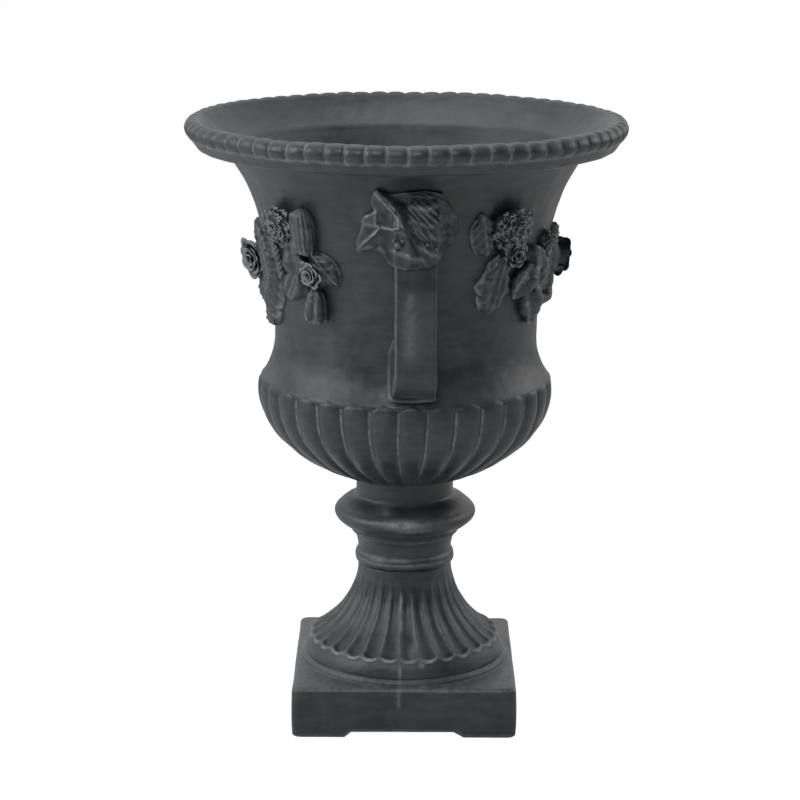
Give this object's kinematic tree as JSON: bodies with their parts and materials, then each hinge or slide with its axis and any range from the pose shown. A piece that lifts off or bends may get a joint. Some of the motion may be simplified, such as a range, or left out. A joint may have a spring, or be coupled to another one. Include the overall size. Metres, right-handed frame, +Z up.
{
  "type": "urn planter",
  "caption": "Classical urn planter: flared bell with lobed rim and gadrooned bowl, flower garlands and two strap handles, on a turned stem, fluted foot and square plinth.",
  "frame": {"origin": "on the ground under the middle of the plinth", "axes": "+Z up the urn, -Y the front with the strap handle, +X to the viewer's right"},
  "size_m": [0.5112, 0.5112, 0.71],
  "materials": {
    "painted_stone": "cast stone painted charcoal black, satin-matte, with pale rubbed edges",
    "zinc_steel": "zinc-plated steel"
  },
  "bodies": {
    "root": {"bell": "painted_stone", "fluted_foot": "painted_stone", "gadrooned_bowl": "painted_stone", "handle_back": "painted_stone", "handle_dowels": "zinc_steel", "handle_front": "painted_stone", "handle_leaf_back": "painted_stone", "handle_leaf_front": "painted_stone", "left_carnation_end": "painted_stone", "left_carnation_high": "painted_stone", "left_daisy": "painted_stone", "left_leaf_crest": "painted_stone", "left_leaf_curved": "painted_stone", "left_leaf_inner": "painted_stone", "left_leaf_lobed": "painted_stone", "left_leaf_low": "painted_stone", "left_leaf_ribbed": "painted_stone", "left_leaf_side": "painted_stone", "left_leaf_smooth": "painted_stone", "left_leaf_spiky": "painted_stone", "left_leaf_tall": "painted_stone", "left_leaf_veined": "painted_stone", "left_lily_bud": "painted_stone", "left_pear": "painted_stone", "left_rose_end": "painted_stone", "left_rose_middle": "painted_stone", "left_seed_head": "painted_stone", "left_thistle": "painted_stone", "left_tulip_high": "painted_stone", "left_tulip_low": "painted_stone", "left_twisted_stem": "painted_stone", "plinth": "painted_stone", "right_carnation_end": "painted_stone", "right_carnation_high": "painted_stone", "right_daisy": "painted_stone", "right_leaf_crest": "painted_stone", "right_leaf_curved": "painted_stone", "right_leaf_inner": "painted_stone", "right_leaf_lobed": "painted_stone", "right_leaf_low": "painted_stone", "right_leaf_ribbed": "painted_stone", "right_leaf_side": "painted_stone", "right_leaf_smooth": "painted_stone", "right_leaf_spiky": "painted_stone", "right_leaf_tall": "painted_stone", "right_leaf_veined": "painted_stone", "right_lily_bud": "painted_stone", "right_pear": "painted_stone", "right_rose_end": "painted_stone", "right_rose_middle": "painted_stone", "right_seed_head": "painted_stone", "right_thistle": "painted_stone", "right_tulip_high": "painted_stone", "right_tulip_low": "painted_stone", "right_twisted_stem": "painted_stone", "rim_moulding": "painted_stone", "stem": "painted_stone", "tie_rod": "zinc_steel", "tie_rod_nuts": "zinc_steel", "tie_rod_washers": "zinc_steel"}
  },
  "joints": []
}
